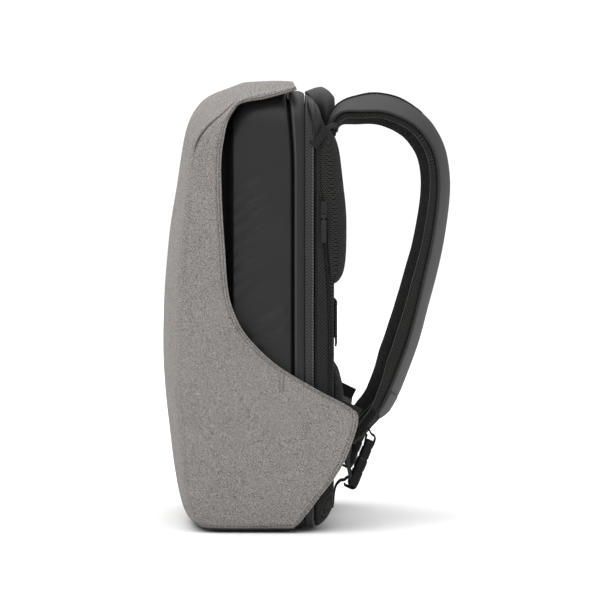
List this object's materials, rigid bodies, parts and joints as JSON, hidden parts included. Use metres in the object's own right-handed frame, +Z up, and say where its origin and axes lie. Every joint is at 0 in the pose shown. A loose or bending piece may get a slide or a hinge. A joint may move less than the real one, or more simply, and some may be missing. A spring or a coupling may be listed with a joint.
{
  "type": "anti theft backpack",
  "caption": "Upright backpack with a grey cloth hood and side wings over a black coated compartment, padded mesh back, loop handle and curved shoulder straps.",
  "frame": {"origin": "the middle of the flat base the bag stands on", "axes": "+Z up, the grey front faces -Y, the back pads and straps face +Y, +X is the wearer's right"},
  "size_m": [0.3004, 0.294, 0.45],
  "materials": {
    "grey_cloth": "heather weave, matte",
    "coated_cloth": "smooth coated cloth, soft sheen",
    "woven_cloth": "plain black weave, matte",
    "mesh_cloth": "open spacer mesh, matte",
    "webbing_cloth": "ribbed webbing",
    "black_plastic": "moulded, satin",
    "black_metal": "black painted, satin"
  },
  "bodies": {
    "bag": {"front_shell": "grey_cloth", "side_gusset": "coated_cloth", "zip_band_front": "coated_cloth", "zip_band_back": "woven_cloth", "back_tub": "mesh_cloth", "upper_back_pad": "mesh_cloth", "lumbar_pad": "mesh_cloth", "luggage_strap": "woven_cloth", "side_panel_right": "woven_cloth", "side_panel_left": "woven_cloth", "zip_garage_right": "coated_cloth", "zip_garage_left": "coated_cloth", "strap_anchor_right": "webbing_cloth", "strap_anchor_left": "webbing_cloth", "wing_webbing_right": "webbing_cloth", "wing_webbing_left": "webbing_cloth", "wing_tab_right": "webbing_cloth", "wing_tab_left": "webbing_cloth", "pocket_zip": "black_plastic", "pocket_slider": "black_metal", "top_handle": "coated_cloth", "strap_pad_right": "mesh_cloth", "strap_pad_left": "mesh_cloth", "strap_cover_right": "coated_cloth", "strap_cover_left": "coated_cloth", "buckle_right": "black_plastic", "buckle_left": "black_plastic", "strap_webbing_right": "webbing_cloth", "strap_webbing_left": "webbing_cloth", "lower_webbing_right": "webbing_cloth", "lower_webbing_left": "webbing_cloth"},
    "zip_pull": {"pocket_pull": "black_metal"}
  },
  "joints": [
    {"name": "pull_hinge", "type": "hinge", "parent": "bag", "child": "zip_pull", "pos_m": [0.14518, 0.06473, 0.3123], "axis": [0, -1, 0], "range_deg": [0, 150]}
  ]
}
